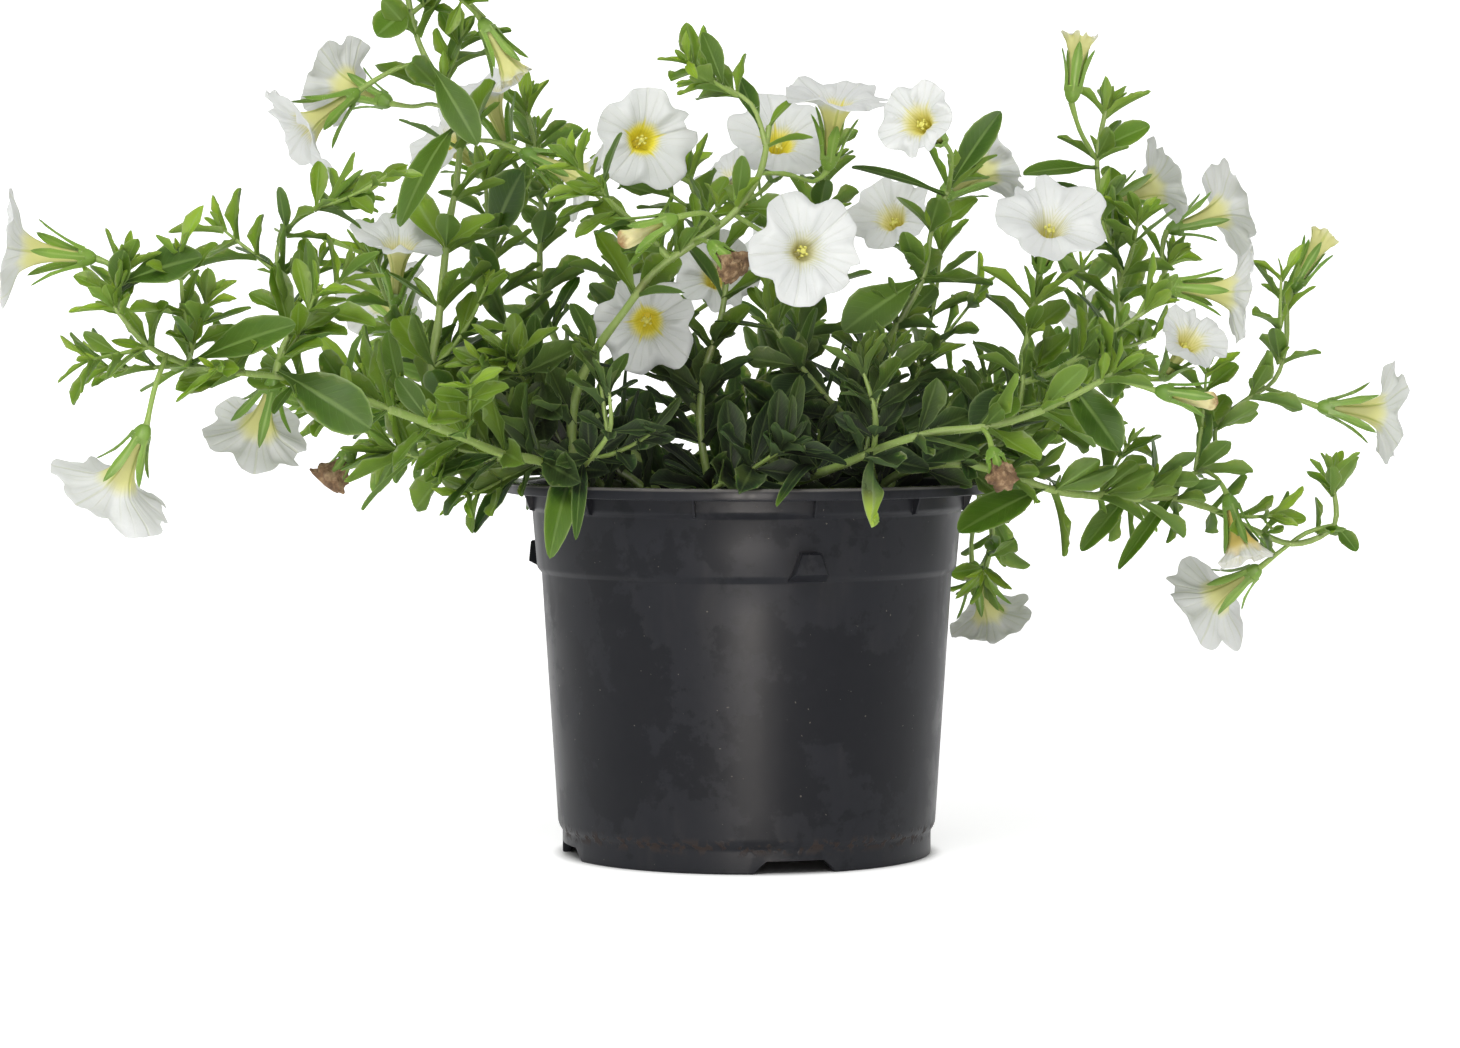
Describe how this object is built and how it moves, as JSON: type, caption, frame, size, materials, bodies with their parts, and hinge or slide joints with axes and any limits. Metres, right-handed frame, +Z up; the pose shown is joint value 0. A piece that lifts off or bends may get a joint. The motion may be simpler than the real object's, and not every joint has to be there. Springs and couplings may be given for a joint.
{
  "type": "potted calibrachoa",
  "caption": "White-flowered calibrachoa with trailing leafy stems and small trumpet blooms, growing in a round black plastic nursery pot with a wide flat rim.",
  "frame": {"origin": "on the surface that the pot stands on, at the foot of the pot's axis, which is within 2 mm of the centre of the whole plant's box", "axes": "+Z up along the pot's axis; -Y towards the viewer of the front; +X to the viewer's right, along the plant's widest spread"},
  "size_m": [0.3581, 0.2564, 0.2421],
  "materials": {
    "pot_plastic": "satin",
    "potting_soil": "matte",
    "leaf_green": "satin",
    "petal_white": "satin",
    "petal_yellow": "satin",
    "withered_brown": "matte"
  },
  "bodies": {
    "root": {"pot": "pot_plastic", "soil": "potting_soil", "stem_tall_left": "leaf_green", "stem_left_runner": "leaf_green", "stem_left_mass": "leaf_green", "stem_left_inner": "leaf_green", "stem_back_left": "leaf_green", "stem_front_diagonal": "leaf_green", "stem_centre_mass": "leaf_green", "stem_centre_back": "leaf_green", "stem_front_low": "leaf_green", "stem_right_rising": "leaf_green", "stem_right_upright": "leaf_green", "stem_centre_upright": "leaf_green", "stem_right_runner": "leaf_green", "stem_right_tall": "leaf_green", "stem_right_back": "leaf_green", "stem_right_hanging": "leaf_green", "stem_rear_left": "leaf_green", "stem_rear_centre": "leaf_green", "stem_rear_right": "leaf_green", "bloom_01": "petal_white", "bloom_02": "petal_white", "bloom_03": "petal_white", "bloom_04": "petal_white", "bloom_05": "petal_white", "bloom_06": "petal_white", "bloom_07": "petal_white", "bloom_08": "petal_white", "bloom_09": "petal_white", "bloom_10": "petal_white", "bloom_11": "petal_white", "bloom_12": "petal_white", "bloom_13": "petal_white", "bloom_14": "petal_white", "bloom_15": "petal_white", "bloom_16": "petal_white", "bloom_17": "petal_white", "bloom_18": "petal_white", "bloom_19": "petal_white", "bloom_20": "petal_white", "bloom_21": "petal_white", "bloom_22": "petal_white", "bloom_23": "petal_white", "bloom_24": "petal_white", "bloom_25": "petal_white", "bloom_26": "petal_white", "bloom_27": "petal_white", "bloom_28": "petal_white", "bloom_29": "petal_white", "bloom_30": "petal_yellow", "bloom_31": "petal_yellow", "bloom_32": "petal_white", "bloom_33": "petal_white", "bloom_34": "petal_white", "bloom_35": "petal_white", "bloom_36": "petal_white", "bloom_37": "withered_brown", "bloom_38": "withered_brown", "bloom_39": "withered_brown"}
  },
  "joints": []
}
